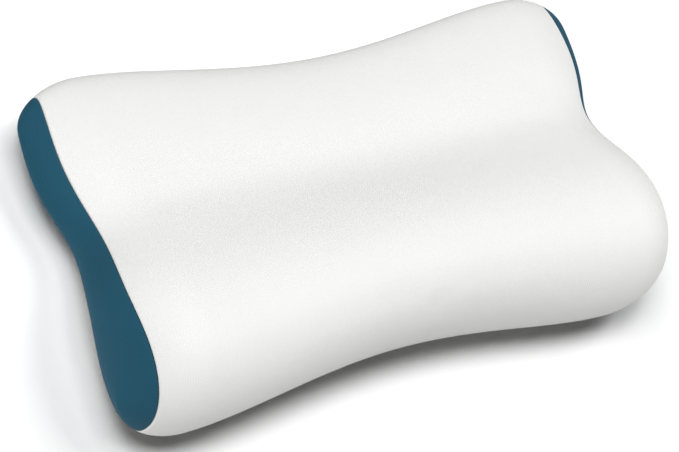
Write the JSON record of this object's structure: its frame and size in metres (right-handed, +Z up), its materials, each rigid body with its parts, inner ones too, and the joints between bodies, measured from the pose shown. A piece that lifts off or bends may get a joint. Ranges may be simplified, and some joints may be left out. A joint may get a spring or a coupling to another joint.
{
  "type": "cervical pillow",
  "caption": "Contour pillow for the neck: a thick and a thin lobe with a shallow valley between them, white knit cover with sewn teal end panels.",
  "frame": {"origin": "under the middle of the pillow, on the surface that it rests on", "axes": "+X along the pillow from its left end to its right end, the thick neck lobe faces -Y, +Z up"},
  "size_m": [0.6, 0.307, 0.1231],
  "materials": {
    "white_knit": "fine white knit, matt",
    "teal_knit": "fine teal knit, matt"
  },
  "bodies": {
    "root": {"cover": "white_knit", "end_panel_left": "teal_knit", "end_panel_right": "teal_knit"}
  },
  "joints": []
}
